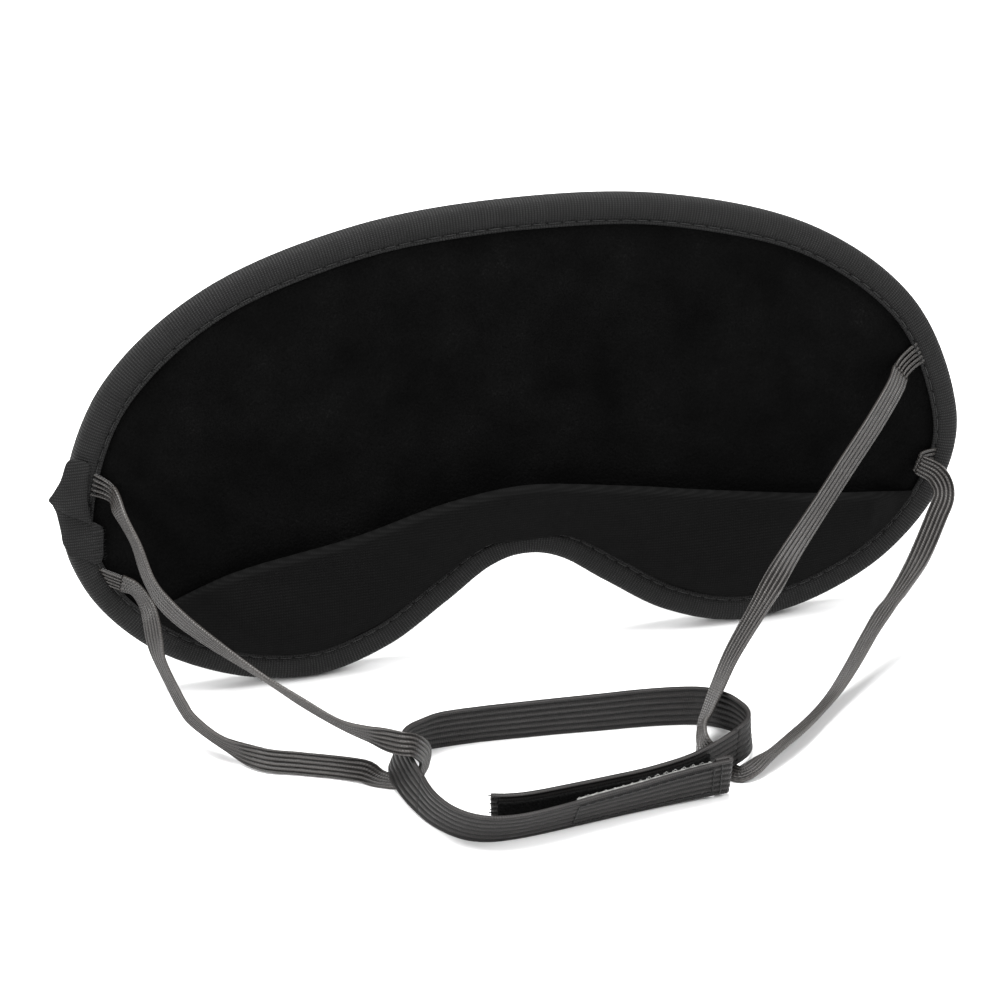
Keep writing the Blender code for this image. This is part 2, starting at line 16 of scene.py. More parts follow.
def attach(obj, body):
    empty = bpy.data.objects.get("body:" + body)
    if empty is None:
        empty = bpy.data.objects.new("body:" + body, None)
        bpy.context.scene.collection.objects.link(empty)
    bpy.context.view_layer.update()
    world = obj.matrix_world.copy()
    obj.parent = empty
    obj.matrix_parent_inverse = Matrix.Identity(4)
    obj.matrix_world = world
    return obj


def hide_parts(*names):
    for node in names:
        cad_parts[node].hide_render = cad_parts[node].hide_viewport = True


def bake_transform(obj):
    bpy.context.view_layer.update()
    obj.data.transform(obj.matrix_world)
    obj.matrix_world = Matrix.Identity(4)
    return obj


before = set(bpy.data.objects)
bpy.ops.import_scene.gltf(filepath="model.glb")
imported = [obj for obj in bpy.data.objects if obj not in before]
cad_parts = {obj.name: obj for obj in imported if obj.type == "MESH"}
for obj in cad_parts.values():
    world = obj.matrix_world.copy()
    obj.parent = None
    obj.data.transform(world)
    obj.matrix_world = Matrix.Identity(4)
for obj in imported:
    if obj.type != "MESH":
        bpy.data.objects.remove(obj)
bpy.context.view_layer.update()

MM = 0.001
SHIFT = np.array((1.3, 38.9, 0.0)) * MM      # from the routes' own zero to the model's origin

# ---- the mask, with the sizes of its CAD model
LEAN = math.radians(6.5)
RIGHT = np.array((1.0, 0.0, 0.0))
UP = np.array((0.0, math.sin(LEAN), math.cos(LEAN)))
FACE = np.array((0.0, -math.cos(LEAN), math.sin(LEAN)))
LOBE_DROP = 36.0 * MM
PAD_HALF = 2.2 * MM            # half the thickness of the layers under the binding
EDGE_HALF = 3.2 * MM           # half the thickness over the binding
TAPE_REACH = 6.4 * MM
BASE = SHIFT + np.array((0, 0, LOBE_DROP * math.cos(LEAN) + EDGE_HALF * math.sin(LEAN)))
HALF_EDGE = (
    (0, 70.8), (36, 68), (70, 57.2), (94.2, 37.5), (104.7, 10.9), (101.3, -8.1),
    (88, -23.8), (69, -33.4), (50, -36), (33, -31.1), (19, -22.2), (8.5, -15), (0, -12.9),
)
STITCH_INSET = 5.5 * MM
STITCH_PITCH = 3.4 * MM

# ---- the nose flap
HINGE_V = -9.6 * MM
HINGE_W = 6.0 * MM
FLAP_TILT = math.radians(12)
FLAP_HALF = 1.9 * MM
FLAP_TOP = (
    (-100, -19.5), (-84, -13.0), (-74, -9.2), (-64, -6.4), (-42, -2.1), (-24, 2.8), (-12, 5.3),
    (-2, 6.1), (8, 5.2), (26, 2.2), (42, -1.0), (64, -4.8), (80, -6.6), (100, -8.6),
)

# ---- the narrow elastics: x, y, z in millimetres, then the direction of their width
NARROW = 5.0 * MM
NARROW_THICK = 0.9 * MM
LEFT_ROUTE = (
    (-94.0, -3.6, 51.0, 0.1, -0.1, 1.0), (-93.8, -6.2, 50.4, 0.2, -0.3, 0.9),
    (-93.1, -9.2, 48.4, 0.2, -0.8, 0.5), (-90.9, -13.2, 43.3, 0.2, -0.9, 0.3),
    (-89.2, -17.9, 36.8, 0.3, -0.9, 0.3), (-86.2, -22.0, 32.1, 0.3, -0.6, 0.7),
    (-80.3, -28.4, 27.7, 0.1, -0.6, 0.8), (-69.1, -37.4, 20.7, -0.1, -0.8, 0.6),
    (-61.6, -43.3, 16.4, -0.1, -0.7, 0.7), (-54.2, -49.1, 12.8, -0.1, -0.7, 0.7),
    (-48.9, -54.8, 12.5, 0.0, -0.5, 0.9), (-45.6, -59.4, 13.2, 0.2, 0.1, 1.0),
    (-43.4, -62.4, 13.8, 0.3, 0.4, 0.9), (-40.8, -62.8, 13.1, 0.5, 0.7, 0.5),
    (-38.2, -60.5, 9.4, 0.6, 0.8, 0.1), (-38.2, -59.6, 5.6, 0.6, 0.8, -0.1),
    (-38.6, -59.0, 3.0, 0.5, 0.9, 0.0), (-40.6, -57.4, 0.8, 0.2, 1.0, 0.0),
    (-43.6, -55.9, 0.6, 0.2, 1.0, 0.0), (-46.6, -54.3, 0.8, 0.2, 0.9, 0.2),
    (-49.8, -52.4, 2.1, 0.2, 0.6, 0.8), (-54.6, -50.2, 2.6, 0.1, 0.3, 1.0),
    (-62.6, -46.3, 2.6, 0.1, 0.3, 1.0), (-70.5, -42.6, 2.8, 0.1, 0.3, 1.0),
    (-77.1, -36.0, 3.8, 0.0, -0.6, 0.8), (-82.4, -29.5, 6.5, 0.1, -0.7, 0.7),
    (-84.3, -25.5, 8.6, 0.2, -0.8, 0.6), (-85.8, -21.6, 11.7, 0.2, -0.8, 0.5),
    (-87.6, -17.6, 16.4, 0.3, -0.9, 0.4), (-88.1, -14.8, 20.0, 0.5, -0.8, 0.3),
    (-88.3, -12.0, 24.1, 0.5, -0.8, 0.3), (-89.0, -9.2, 26.7, 0.4, -0.8, 0.5),
    (-90.8, -7.0, 29.2, 0.2, -0.6, 0.7), (-93.4, -5.6, 30.2, 0.1, -0.4, 0.9),
)
RIGHT_ROUTE = (
    (89.6, -2.4, 58.0, -0.6, 0.1, 0.8), (86.6, -6.6, 56.0, -0.7, -0.1, 0.7),
    (79.1, -13.6, 51.0, -0.7, -0.1, 0.7), (70.7, -20.0, 44.9, -0.7, -0.1, 0.7),
    (61.7, -26.7, 38.0, -0.7, -0.1, 0.7), (52.4, -33.9, 31.1, -0.8, 0.1, 0.6),
    (43.9, -40.9, 24.0, -0.5, 0.9, 0.0), (35.3, -47.9, 16.9, -0.2, 1.0, -0.1),
    (30.3, -52.8, 11.7, -0.1, 1.0, -0.2), (26.8, -56.6, 8.0, 0.0, 1.0, -0.3),
    (24.7, -59.2, 6.0, 0.1, 0.9, -0.4), (24.0, -62.0, 4.1, -0.2, 0.9, -0.3),
    (25.2, -65.2, 0.8, -1.0, 0.2, 0.0), (27.4, -70.0, 0.6, -0.9, -0.4, 0.0),
    (29.2, -72.7, 0.9, -0.4, -0.9, -0.1), (31.7, -72.5, 1.6, 0.0, -1.0, 0.0),
    (35.1, -70.4, 2.3, 0.3, -0.9, 0.3), (39.2, -67.8, 2.8, 0.3, -0.8, 0.5),
    (45.5, -62.6, 3.0, 0.3, -0.8, 0.5), (53.0, -55.2, 2.8, 0.4, -0.7, 0.6),
    (59.3, -49.0, 3.6, 0.5, -0.6, 0.6), (65.0, -43.6, 6.3, 0.6, -0.5, 0.6),
    (71.3, -37.6, 10.4, 0.7, -0.3, 0.6), (76.7, -32.8, 13.6, 0.8, -0.3, 0.5),
    (81.1, -29.2, 15.5, 0.8, -0.3, 0.5), (88.4, -22.2, 19.4, 0.9, -0.2, 0.3),
    (95.1, -15.3, 25.9, 1.0, -0.1, 0.2), (98.4, -11.4, 29.8, 0.9, 0.3, 0.3),
    (97.7, -8.2, 33.3, 0.6, -0.1, 0.8), (94.3, -5.2, 35.1, 0.1, -0.1, 1.0),
)
TABLE_GAP = 0.03 * MM
# Level and side of each sewn-in end, with the elastic it belongs to and which end that is.
TAILS = (
    ("left_elastic_upper_tail", -1, 16.4, "left", 0), ("left_elastic_lower_tail", -1, -5.4, "left", -1),
    ("right_elastic_upper_tail", 1, 25.4, "right", 0), ("right_elastic_lower_tail", 1, -1.4, "right", -1),
)

# ---- the head strap: x, y and lift of its lower edge in millimetres, then its lean in degrees
WIDE = 9.5 * MM
WIDE_THICK = 1.0 * MM
PATCH_WIDTH = 8.6 * MM
PILE_WIDTH = 7.0 * MM          # the part of the loop patch that its pile covers
WIDE_ROUTE = (
    (24.2, -79.3, 1.0, 14), (20.0, -79.3, 0.8, 15), (12.0, -79.6, 0.4, 18), (2.0, -80.5, 0.1, 23),
    (-8.0, -81.8, 0, 26), (-18.0, -83.3, 0, 29), (-25.4, -83.9, 0, 30), (-31.0, -83.3, 0, 27),
    (-35.6, -80.6, 0, 19), (-39.4, -75.6, 0.2, 8), (-41.8, -70.2, 0.5, -4), (-43.6, -63.5, 0.8, -12),
    (-44.4, -57.0, 1.4, -17), (-43.8, -51.5, 1.4, -19), (-41.0, -46.9, 1.1, -21),
    (-36.5, -44.3, 0.6, -18), (-30.5, -43.2, 0.1, -10), (-21.3, -43.1, 0, -9), (-12.4, -43.7, 0, -8),
    (-3.3, -44.4, 0, -7), (5.6, -45.3, 0, -5), (14.7, -46.1, 0, -3), (23.2, -47.4, 0, -2),
    (28.8, -49.4, 0.2, -3), (33.0, -53.4, 0.5, -6), (35.0, -58.2, 0.9, -9), (35.0, -62.4, 1.2, -7),
    (32.8, -66.4, 1.4, 0), (28.6, -69.6, 1.4, 5), (22.4, -72.4, 1.1, 11), (15.4, -74.2, 0.5, 16),
    (6.0, -75.5, 0.1, 19), (-2.8, -76.3, 0, 20), (-12.0, -77.3, 0, 20), (-20.0, -78.0, 0, 20),
    (-24.6, -77.7, 0, 20), (-27.8, -76.8, 0, 20),
)
HOOK_SPLIT = 10
LOOP_SPLIT = 28
LOOP_CENTRE = np.array((-4.0, -63.0))
HEM_RUN = 3.2 * MM
HEM_GAP = 1.15 * MM            # between the middles of the strap and its folded end
HOOK_PATCH_RUN = (4.0 * MM, 36.0 * MM)
LOOP_PATCH_RUN = (9.0 * MM, -1.5 * MM)
OPEN_HOOKS = 14.0 * MM         # from the hem's side of the hook patch, where its hooks stand free


# ---------------------------------------------------------------- materials

class Cloth:
    """A procedural fabric: a Principled shader with a few helpers for its node graph."""

    def __init__(self, name, roughness, specular, sheen=0.0):
        self.material = bpy.data.materials.new(name)
        self.material.use_nodes = True
        self.tree = self.material.node_tree
        self.shader = self.tree.nodes["Principled BSDF"]
        self.shader.inputs["Roughness"].default_value = roughness
        self.shader.inputs["Specular IOR Level"].default_value = specular
        self.shader.inputs["Sheen Weight"].default_value = sheen
        self.shader.inputs["Sheen Roughness"].default_value = 0.5
        self.places = self.tree.nodes.new("ShaderNodeTexCoord")

    def math(self, operation, a, b=0.0):
        node = self.tree.nodes.new("ShaderNodeMath")
        node.operation = operation
        for socket, value in zip(node.inputs, (a, b)):
            if isinstance(value, (int, float)):
                socket.default_value = value
            else:
                self.tree.links.new(value, socket)
        return node.outputs[0]

    def axis(self, source, index):
        """One coordinate of the UV map, in millimetres, or of the object, in metres."""
        node = self.tree.nodes.new("ShaderNodeSeparateXYZ")
        self.tree.links.new(self.places.outputs[source], node.inputs[0])
        return node.outputs[index]

    def ripple(self, coordinate, pitch):
        """A sine of the coordinate between 0 and 1, with the given pitch."""
        wave = self.math("SINE", self.math("MULTIPLY", coordinate, math.tau / pitch))
        return self.math("ADD", self.math("MULTIPLY", wave, 0.5), 0.5)

    def noise(self, scale, detail=3.0, place=None):
        node = self.tree.nodes.new("ShaderNodeTexNoise")
        node.inputs["Scale"].default_value = scale
        node.inputs["Detail"].default_value = detail
        self.tree.links.new(place or self.places.outputs["Object"], node.inputs["Vector"])
        return node.outputs["Fac"]

    def streaks(self, along, across):
        """Noise drawn out along a band whose UVs are millimetres along and ribs across."""
        node = self.tree.nodes.new("ShaderNodeCombineXYZ")
        self.tree.links.new(self.math("MULTIPLY", self.axis("UV", 0), along), node.inputs[0])
        self.tree.links.new(self.math("MULTIPLY", self.axis("UV", 1), across), node.inputs[1])
        return self.noise(1.0, 3.0, node.outputs[0])

    def colour(self, value, stops):
        """Base colour from a value, through (position, grey or colour) stops."""
        ramp = self.tree.nodes.new("ShaderNodeValToRGB")
        while len(ramp.color_ramp.elements) < len(stops):
            ramp.color_ramp.elements.new(1.0)
        for element, (position, shade) in zip(ramp.color_ramp.elements, stops):
            element.position = position
            rgb = shade if isinstance(shade, tuple) else (shade, shade, shade)
            element.color = (*rgb, 1.0)
        self.tree.links.new(value, ramp.inputs[0])
        self.tree.links.new(ramp.outputs[0], self.shader.inputs["Base Color"])

    def roughness(self, value, low, high):
        node = self.tree.nodes.new("ShaderNodeMapRange")
        node.inputs["To Min"].default_value = low
        node.inputs["To Max"].default_value = high
        self.tree.links.new(value, node.inputs["Value"])
        self.tree.links.new(node.outputs[0], self.shader.inputs["Roughness"])

    def bump(self, height, distance, strength=1.0):
        node = self.tree.nodes.new("ShaderNodeBump")
        node.inputs["Strength"].default_value = strength
        node.inputs["Distance"].default_value = distance
        self.tree.links.new(height, node.inputs["Height"])
        self.tree.links.new(node.outputs[0], self.shader.inputs["Normal"])


def tape_cloth():
    """Binding tape: fine ribs across it, crossed by closer rows along it, with painted shade in the
    grooves between them.
    """
    cloth = Cloth("ribbed_tape", 0.6, 0.22)
    ribs = cloth.ripple(cloth.axis("UV", 0), 0.66)
    rows = cloth.ripple(cloth.axis("UV", 1), 0.46)
    weave = cloth.math("MULTIPLY", ribs, cloth.math("ADD", cloth.math("MULTIPLY", rows, 0.7), 0.3))
    # painted shade: the colour follows the weave's height, dark in the grooves between ribs and rows and
    # lighter on their crowns, times a random tone
    groove_shade_and_tone = cloth.math("MULTIPLY", weave, cloth.math("ADD", cloth.noise(260.0), 0.25))
    cloth.colour(groove_shade_and_tone, ((0.0, 0.0012), (0.35, 0.004), (0.9, 0.015)))
    cloth.roughness(weave, 0.8, 0.5)
    cloth.bump(weave, 0.00016)
    return cloth.material


def elastic_cloth(name, stops, pitch, roughness, specular):
    """Woven elastic: lengthwise ribs are covered cords with slanting threads, with painted shade between
    them.
    """
    cloth = Cloth(name, roughness, specular)
    rib = cloth.axis("UV", 1)
    slant = cloth.math("ADD", cloth.axis("UV", 0), cloth.math("MULTIPLY", rib, 0.35))
    threads = cloth.ripple(slant, pitch)
    crown = cloth.math("ABSOLUTE", cloth.math("COSINE", cloth.math("MULTIPLY", rib, math.pi)))
    crown = cloth.math("POWER", crown, 0.8)
    # painted shade: darker between the slanting threads, times a random streaky tone
    thread_shade_and_streaks = cloth.math("MULTIPLY", cloth.math("ADD", cloth.math("MULTIPLY", threads, 0.3), 0.7),
                      cloth.math("ADD", cloth.streaks(0.11, 2.3), 0.42))
    # painted shade: the colour is darkest between the ribs and lighter on their crowns
    cloth.colour(cloth.math("MULTIPLY", thread_shade_and_streaks, crown), stops)
    cloth.roughness(cloth.streaks(0.4, 1.7), roughness - 0.15, roughness + 0.15)
    height = cloth.math("ADD", cloth.math("MULTIPLY", threads, 0.25), crown)
    cloth.bump(height, 0.00022)
    return cloth.material


# From the painted shade between the ribs to their lighter crowns: position, then colour.
NARROW_SHADES = (
    (0.05, (0.002, 0.0017, 0.0015)), (0.45, (0.011, 0.0094, 0.0086)), (0.9, (0.040, 0.036, 0.033)),
)
WIDE_SHADES = (
    (0.05, (0.0012, 0.0011, 0.001)), (0.5, (0.006, 0.0055, 0.0053)), (0.95, (0.022, 0.020, 0.0195)),
)


def velour_cloth():
    """The face lining: a very dark, matt, brushed pile with a faint nap."""
    cloth = Cloth("black_velour", 0.95, 0.02)
    nap = cloth.math("MULTIPLY", cloth.noise(2600.0, 2.0), cloth.noise(90.0))
    cloth.colour(nap, ((0.1, 0.0012), (0.4, 0.0032), (0.62, 0.0090)))
    cloth.bump(cloth.noise(1500.0), 0.00025)
    return cloth.material


def jersey_cloth():
    """The flap's jersey: fine level ribs of knitted loops."""
    cloth = Cloth("black_jersey", 0.9, 0.04)
    rows = cloth.ripple(cloth.axis("Object", 2), 0.00072)
    loops = cloth.ripple(cloth.axis("Object", 0), 0.00056)
    knit = cloth.math("MULTIPLY", rows, cloth.math("ADD", cloth.math("MULTIPLY", loops, 0.5), 0.5))
    # painted shade: the colour follows the knit's relief, darker between its rows and loops, times a
    # random tone
    cloth.colour(cloth.math("MULTIPLY", knit, cloth.math("ADD", cloth.noise(300.0), 0.3)),
                 ((0.0, 0.0034), (0.4, 0.0044), (0.95, 0.0066)))
    cloth.bump(knit, 0.00005)
    return cloth.material


def satin_cloth():
    """The outer cover: smooth woven satin with a soft gloss."""
    cloth = Cloth("black_satin", 0.42, 0.35, 0.05)
    warp = cloth.ripple(cloth.axis("Object", 0), 0.00042)
    weft = cloth.ripple(cloth.axis("Object", 2), 0.0009)
    weave = cloth.math("ADD", cloth.math("MULTIPLY", warp, 0.6), cloth.math("MULTIPLY", weft, 0.4))
    # painted shade: the colour follows the weave's relief, darker between its threads, times a random
    # tone
    cloth.colour(cloth.math("MULTIPLY", weave, cloth.math("ADD", cloth.noise(60.0), 0.4)),
                 ((0.0, 0.004), (0.5, 0.010), (1.0, 0.020)))
    cloth.roughness(cloth.noise(45.0), 0.34, 0.52)
    cloth.bump(weave, 0.00008)
    return cloth.material


def thread_cloth():
    cloth = Cloth("black_thread", 0.5, 0.3)
    twist = cloth.ripple(cloth.math("ADD", cloth.axis("UV", 0), cloth.axis("UV", 1)), 0.5)
    # painted shade: darker in the grooves of the twist, lighter on its strands
    cloth.colour(twist, ((0.0, 0.004), (1.0, 0.022)))
    cloth.bump(twist, 0.00008)
    return cloth.material


def foam_cloth():
    cloth = Cloth("grey_foam", 0.95, 0.1)
    cells = cloth.noise(900.0, 4.0)
    cloth.colour(cells, ((0.3, 0.03), (0.7, 0.12)))
    cloth.bump(cells, 0.0004)
    return cloth.material


def film_cloth():
    cloth = Cloth("blackout_film", 0.6, 0.2)
    grain = cloth.noise(700.0)
    cloth.colour(grain, ((0.3, 0.003), (0.7, 0.008)))
    cloth.bump(grain, 0.00008)
    return cloth.material


def hook_cloth():
    """Hook tape: stiff nylon, paler at the hooks' tips."""
    cloth = Cloth("hook_tape", 0.4, 0.5)
    cloth.colour(cloth.noise(900.0), ((0.3, (0.06, 0.06, 0.058)), (0.75, (0.26, 0.26, 0.25))))
    cloth.bump(cloth.noise(2500.0), 0.0001)
    return cloth.material


def pile_cloth():
    """Loop tape: a dense pile that swallows light."""
    cloth = Cloth("loop_pile", 0.98, 0.03)
    pile = cloth.noise(2200.0, 4.0)
    cloth.colour(pile, ((0.25, 0.0015), (0.75, 0.012)))
    cloth.bump(pile, 0.0005)
    return cloth.material


# ---------------------------------------------------------------- curves and meshes

def smooth(points, steps, closed=False):
    """Points along the Catmull-Rom curve through the given rows, steps to a stretch."""
    rows = np.array(points, float)
    if closed:
        rows = np.vstack([rows[-1], rows, rows[:2]])
    else:
        rows = np.vstack([2 * rows[0] - rows[1], rows, 2 * rows[-1] - rows[-2]])
    result = []
    for a, b, c, d in zip(rows, rows[1:], rows[2:], rows[3:]):
        for k in range(steps):
            t = k / steps
            result.append(0.5 * (2 * b + (c - a) * t + (2 * a - 5 * b + 4 * c - d) * t * t
                                 + (3 * b - a - 3 * c + d) * t ** 3))
    if not closed:
        result.append(rows[-2])
    return np.array(result)


def unit(vectors):
    return vectors / np.linalg.norm(vectors, axis=-1, keepdims=True)


def distances(points):
    """Distance of each point along the line through them."""
    return np.concatenate([[0], np.cumsum(np.linalg.norm(np.diff(points, axis=0), axis=1))])


def ease(value, low, high):
    """0 below low, 1 above high, and smooth between them."""
    t = np.clip((value - low) / (high - low), 0, 1)
    return t * t * (3 - 2 * t)


def place(u, v, w):
    """World positions of points of the mask's own space."""
    u, v, w = np.broadcast_arrays(u, v, w)
    return BASE + u[..., None] * RIGHT + v[..., None] * UP + w[..., None] * FACE


def mask_edge(steps):
    right_half = list(HALF_EDGE)
    left_half = [(-u, v) for u, v in reversed(right_half[1:-1])]
    return smooth(right_half + left_half, steps, closed=True) * MM


def edge_normals(loop):
    """Unit vectors that point into a clockwise loop."""
    along = unit(np.roll(loop, -1, axis=0) - np.roll(loop, 1, axis=0))
    return np.stack([along[:, 1], -along[:, 0]], axis=1)


def inset(loop, distance):
    return loop + edge_normals(loop) * distance


def sweep(rings, closed=False, around=None):
    """Vertices, faces and UVs of a skin over matching rings of points, capped unless it closes.
    UVs are in millimetres, along the sweep and round it, or round it as given."""
    rings = np.asarray(rings, float)
    count, size = rings.shape[:2]
    middle = rings.mean(axis=1)
    along = distances(np.vstack([middle, middle[:1]])) / MM
    if around is None:
        around = distances(np.vstack([rings[0], rings[0][:1]])) / MM
    faces, uvs = [], []
    for i in range(count if closed else count - 1):
        j = (i + 1) % count
        for k in range(size):
            n = (k + 1) % size
            faces.append((i * size + k, i * size + n, j * size + n, j * size + k))
            uvs += [(along[i], around[k]), (along[i], around[k + 1]),
                    (along[i + 1], around[k + 1]), (along[i + 1], around[k])]
    if not closed:
        for start, at in ((0, along[0]), ((count - 1) * size, along[count - 1])):
            faces.append(tuple(range(start, start + size)))
            uvs += [(at, around[k]) for k in range(size)]
    return rings.reshape(-1, 3), faces, uvs


def piece(name, parts, material, subdivide=0):
    """One object from several skins."""
    verts, faces, uvs, start = [], [], [], 0
    for part_verts, part_faces, part_uvs in parts:
        verts.append(part_verts)
        faces += [tuple(start + k for k in face) for face in part_faces]
        uvs += part_uvs
        start += len(part_verts)
    mesh = bpy.data.meshes.new(name)
    mesh.from_pydata(np.vstack(verts).tolist(), [], faces)
    layer = mesh.uv_layers.new(name="UVMap")
    layer.data.foreach_set("uv", np.array(uvs, np.float32).ravel())
    bm = bmesh.new()
    bm.from_mesh(mesh)
    bmesh.ops.recalc_face_normals(bm, faces=bm.faces[:])
    bm.to_mesh(mesh)
    bm.free()
    mesh.shade_smooth()
    mesh.materials.append(material)
    thing = bpy.data.objects.new(name, mesh)
    bpy.context.scene.collection.objects.link(thing)
    if subdivide:
        modifier = thing.modifiers.new("subdivision", "SUBSURF")
        modifier.levels = modifier.render_levels = subdivide
        bake(thing)
    return thing


def bake(thing):
    """Replace an object's mesh by what its modifiers make of it."""
    graph = bpy.context.evaluated_depsgraph_get()
    mesh = bpy.data.meshes.new_from_object(thing.evaluated_get(graph))
    thing.modifiers.clear()
    thing.data = mesh


def tube(points, radius, sides=6):
    """Rings round a line; radius is one number or one for each point."""
    points = np.asarray(points, float)
    along = unit(np.gradient(points, axis=0))
    first = unit(np.cross(along, np.array((0.31, 0.17, 0.93))))
    second = np.cross(along, first)
    angle = np.arange(sides) * math.tau / sides
    radius = np.broadcast_to(radius, len(points))
    return (points[:, None] + radius[:, None, None]
            * (first[:, None] * np.cos(angle)[:, None] + second[:, None] * np.sin(angle)[:, None]))


def stitches(path, outward, pitch, run, radius, closed=False):
    """Skins of a row of separate stitches; each dives into the cloth at both ends."""
    path = np.vstack([path, path[:1]]) if closed else path
    outward = np.vstack([outward, outward[:1]]) if closed else outward
    lengths = distances(path)
    count = max(1, round(lengths[-1] / pitch))
    shape = np.array(((-0.5, -0.9), (-0.42, 0.2), (-0.15, 0.8), (0.15, 0.8), (0.42, 0.2), (0.5, -0.9)))
    skins = []
    for k in range(count):
        at = (k + 0.5) / count * lengths[-1] + run * shape[:, 0]
        line = np.column_stack([np.interp(at, lengths, path[:, n]) for n in range(3)])
        lift = np.column_stack([np.interp(at, lengths, outward[:, n]) for n in range(3)])
        skins.append(sweep(tube(line + lift * radius * shape[:, 1:], radius, 5)))
    return skins


# ---------------------------------------------------------------- bands

def band_frames(rows):
    """Centre, width direction and face direction at each point of a band's route."""
    centres = rows[:, :3]
    along = unit(np.gradient(centres, axis=0))
    across = rows[:, 3:6] - along * np.sum(rows[:, 3:6] * along, axis=1)[:, None]
    across = unit(across)
    return centres, across, np.cross(along, across)


def ribbed(width, thick, ribs, depth, steps=4):
    """Cross-section of an elastic whose ribs lie side by side, with a raised cord at each edge:
    across, through, and the rib that each point is on."""
    front = []
    for k in range(ribs * steps + 1):
        bulge = abs(math.cos(math.pi * k / steps)) * (0.8 if k in (0, ribs * steps) else 1)
        front.append((-width / 2 + width * k / (ribs * steps),
                      thick / 2 * (1 - depth + depth * bulge), k / steps))
    return np.array(front + [(x, -z, rib) for x, z, rib in reversed(front)])


def pillowed(width, thick, depth, steps=8):
    """Cross-section of a soft strip that is highest in its middle."""
    front = []
    for k in range(steps + 1):
        bulge = math.sin(math.pi * k / steps) ** 0.5
        front.append((-width / 2 + width * k / steps, thick / 2 * (1 - depth + depth * bulge), k))
    return np.array(front + [(x, -z, k) for x, z, k in reversed(front)])


def band(rows, profile, offset=0.0):
    """Skin of a flat band along a route, moved by offset along its face direction."""
    centres, across, face = band_frames(rows)
    rings = (centres[:, None] + across[:, None] * profile[:, :1]
             + face[:, None] * (profile[:, 1:2] + offset))
    return sweep(rings, around=np.append(profile[:, 2], profile[0, 2]))


def part_of(rows, start, end):
    """The stretch of a route between two distances from its start; a negative end counts back."""
    lengths = distances(rows[:, :3])
    if end <= 0:
        end += lengths[-1]
    inside = (lengths > start + 0.05 * MM) & (lengths < end - 0.05 * MM)
    at = np.concatenate([[start], lengths[inside], [end]])
    return np.column_stack([np.interp(at, lengths, rows[:, k]) for k in range(rows.shape[1])])


def narrow_rows(route, steps):
    """Route of a narrow elastic in the model's frame, kept clear of the table."""
    rows = smooth(route, steps)
    rows[:, :3] *= MM
    _, across, face = band_frames(rows)
    floor = np.abs(across[:, 2]) * NARROW / 2 + np.abs(face[:, 2]) * NARROW_THICK / 2
    rows[:, 2] = np.maximum(rows[:, 2], floor + TABLE_GAP)
    rows[:, :3] += SHIFT
    return rows


def wide_rows(steps):
    """Centre line and width direction of the wide elastic, end to end."""
    points = smooth(WIDE_ROUTE, steps)
    along = unit(np.gradient(points[:, :2], axis=0))
    outward = np.stack([along[:, 1], -along[:, 0]], axis=1)
    outward[np.sum(outward * (points[:, :2] - LOOP_CENTRE), axis=1) < 0] *= -1
    lean = np.radians(points[:, 3])
    across = np.column_stack([outward * np.sin(lean)[:, None], np.cos(lean)])
    foot = points[:, :3] * MM
    foot[:, 2] += WIDE_THICK / 2 * np.abs(np.sin(lean)) + TABLE_GAP
    foot += SHIFT
    return np.column_stack([foot + across * WIDE / 2, across])


# ---------------------------------------------------------------- camera and cords

def make_camera():
    """A long lens that looks down at the mask's face side, from a little to its left."""
    turn, rise, away = math.radians(-15.1), math.radians(27.0), 0.85
    back = Vector((math.sin(turn) * math.cos(rise), -math.cos(turn) * math.cos(rise), math.sin(rise)))
    data = bpy.data.cameras.new("camera")
    data.lens = 134.64
    data.sensor_width = 36.0
    data.clip_start, data.clip_end = 0.01, 50.0
    camera = bpy.data.objects.new("camera", data)
    camera.location = Vector((-0.00386, 0.0389, 0.0364)) + back * away
    camera.rotation_mode = "QUATERNION"
    camera.rotation_quaternion = (-back).to_track_quat("-Z", "Y")
    bpy.context.scene.collection.objects.link(camera)
    bpy.context.scene.camera = camera


def make_elastics(cloths):
    """The two narrow elastics, each a free flat cord between the binding and the head strap."""
    profile = ribbed(NARROW, NARROW_THICK, 5, 0.55, 6)
    routes = {}
    for side, route in (("left", LEFT_ROUTE), ("right", RIGHT_ROUTE)):
        rows = narrow_rows(route, 6)
        routes[side] = rows
        thing = piece(f"{side}_narrow_elastic", [band(rows, profile)], cloths["narrow"])
        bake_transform(thing)
        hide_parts(f"{side}_elastic")
    return routes


def make_tails(edge, routes, cloths):
    """Where the narrow elastics are sewn in: their cords fan out and go under the binding."""
    rim = inset(edge, TAPE_REACH - 1.2 * MM)
    for name, side, level, elastic, end in TAILS:
        rows = routes[elastic]
        centres, across, face = band_frames(rows)
        inner = centres[end] - centres[1 if end == 0 else -2]
        heading = unit(inner)
        miss = np.abs(rim[:, 1] - level * MM) + (rim[:, 0] * side < 60 * MM)
        at = int(np.argmin(miss))
        along_rim = unit(rim[(at + 1) % len(rim)] - rim[at - 1])
        skins = []
        for k in range(5):
            shift = (k - 2) / 2
            start = centres[end] + across[end] * shift * 2.0 * MM
            order = shift if along_rim[1] * across[end][2] > 0 else -shift
            foot = rim[at] + along_rim * order * 2.3 * MM
            finish = place(foot[0], foot[1], PAD_HALF + 0.75 * MM)
            reach = np.linalg.norm(finish - start)
            bend = start + heading * reach * 0.4 + FACE * (0.25 * MM * (k % 2))
            t = np.linspace(0, 1, 9)[:, None]
            line = start * (1 - t) ** 2 + bend * 2 * t * (1 - t) + finish * t * t
            skins.append(sweep(tube(line, 0.40 * MM, 7)))
        thing = piece(f"{name}_cords", skins, cloths["narrow"])
        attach(thing, "mask")
        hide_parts(name)


# ---------------------------------------------------------------- the mask's pad

